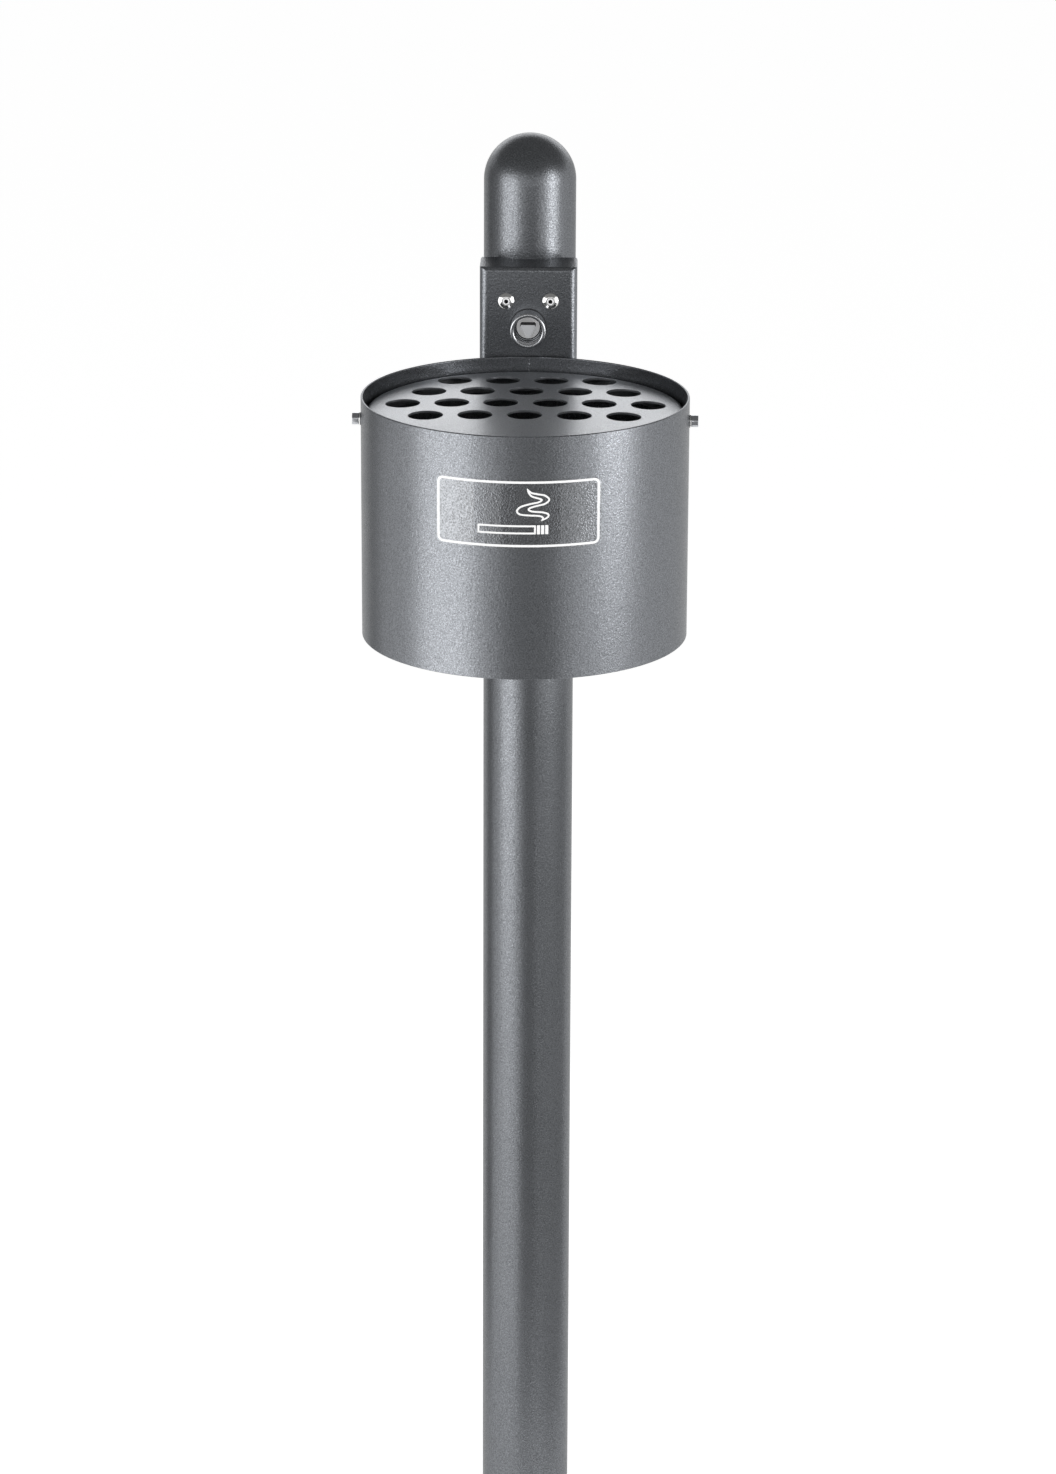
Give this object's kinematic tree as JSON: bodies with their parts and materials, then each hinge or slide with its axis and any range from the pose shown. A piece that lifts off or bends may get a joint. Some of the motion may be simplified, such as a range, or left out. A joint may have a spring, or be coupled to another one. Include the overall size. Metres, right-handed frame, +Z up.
{
  "type": "ashtray bin",
  "caption": "Post-mounted outdoor ashtray: a round drum with a tipping perforated sieve, hinged to a carrier with a key lock on a domed post with a round foot plate.",
  "frame": {"origin": "on the floor, at the post's axis and the centre of the anchor holes", "axes": "+Z up along the post, -Y towards the drum and the user, +X to the user's right"},
  "size_m": [0.22, 0.3732, 1.1],
  "materials": {
    "coated_steel": "dark metallic grey powder coat with a fine sparkle",
    "stainless": "bright stainless steel",
    "zinc_steel": "zinc-plated steel",
    "lock_chrome": "polished chrome",
    "black_rubber": "black rubber",
    "black_nylon": "black nylon",
    "clear_film": "clear film with a white printed pictogram"
  },
  "bodies": {
    "stand": {"base_plate": "coated_steel", "post_tube": "coated_steel", "dome_cap": "coated_steel", "carrier_cover": "coated_steel", "carrier_bracket": "coated_steel", "hinge_console": "coated_steel", "cover_rivets": "stainless", "lock_gasket": "black_rubber", "lock_housing": "lock_chrome", "lock_nut": "zinc_steel", "hinge_bolt": "stainless", "hinge_nut": "stainless", "hinge_washers": "black_nylon", "rubber_buffers": "black_rubber"},
    "lock": {"lock_plug": "lock_chrome", "lock_seal": "black_rubber", "lock_cam": "zinc_steel", "cam_washer": "zinc_steel", "cam_screw": "zinc_steel"},
    "drum": {"drum_shell": "coated_steel", "drum_base": "coated_steel", "strike_hook": "coated_steel", "hinge_bracket": "coated_steel", "sieve_rest": "coated_steel", "pivot_screws": "stainless", "pivot_washers": "stainless", "pivot_spacers": "stainless", "pivot_nuts": "stainless", "label_film": "clear_film"},
    "sieve": {"sieve_plate": "coated_steel", "sieve_bushes": "black_nylon"}
  },
  "joints": [
    {"name": "drum_tilt", "type": "hinge", "parent": "stand", "child": "drum", "pos_m": [0, -0.076, 0.7976], "axis": [1, 0, 0], "range_deg": [0, 105]},
    {"name": "sieve_tip", "type": "hinge", "parent": "drum", "child": "sieve", "pos_m": [0, -0.1595, 0.9488], "axis": [-1, 0, 0], "range_deg": [0, 90]},
    {"name": "lock_turn", "type": "hinge", "parent": "stand", "child": "lock", "pos_m": [0, -0.0545, 0.9841], "axis": [0, 1, 0], "range_deg": [0, 90]}
  ]
}
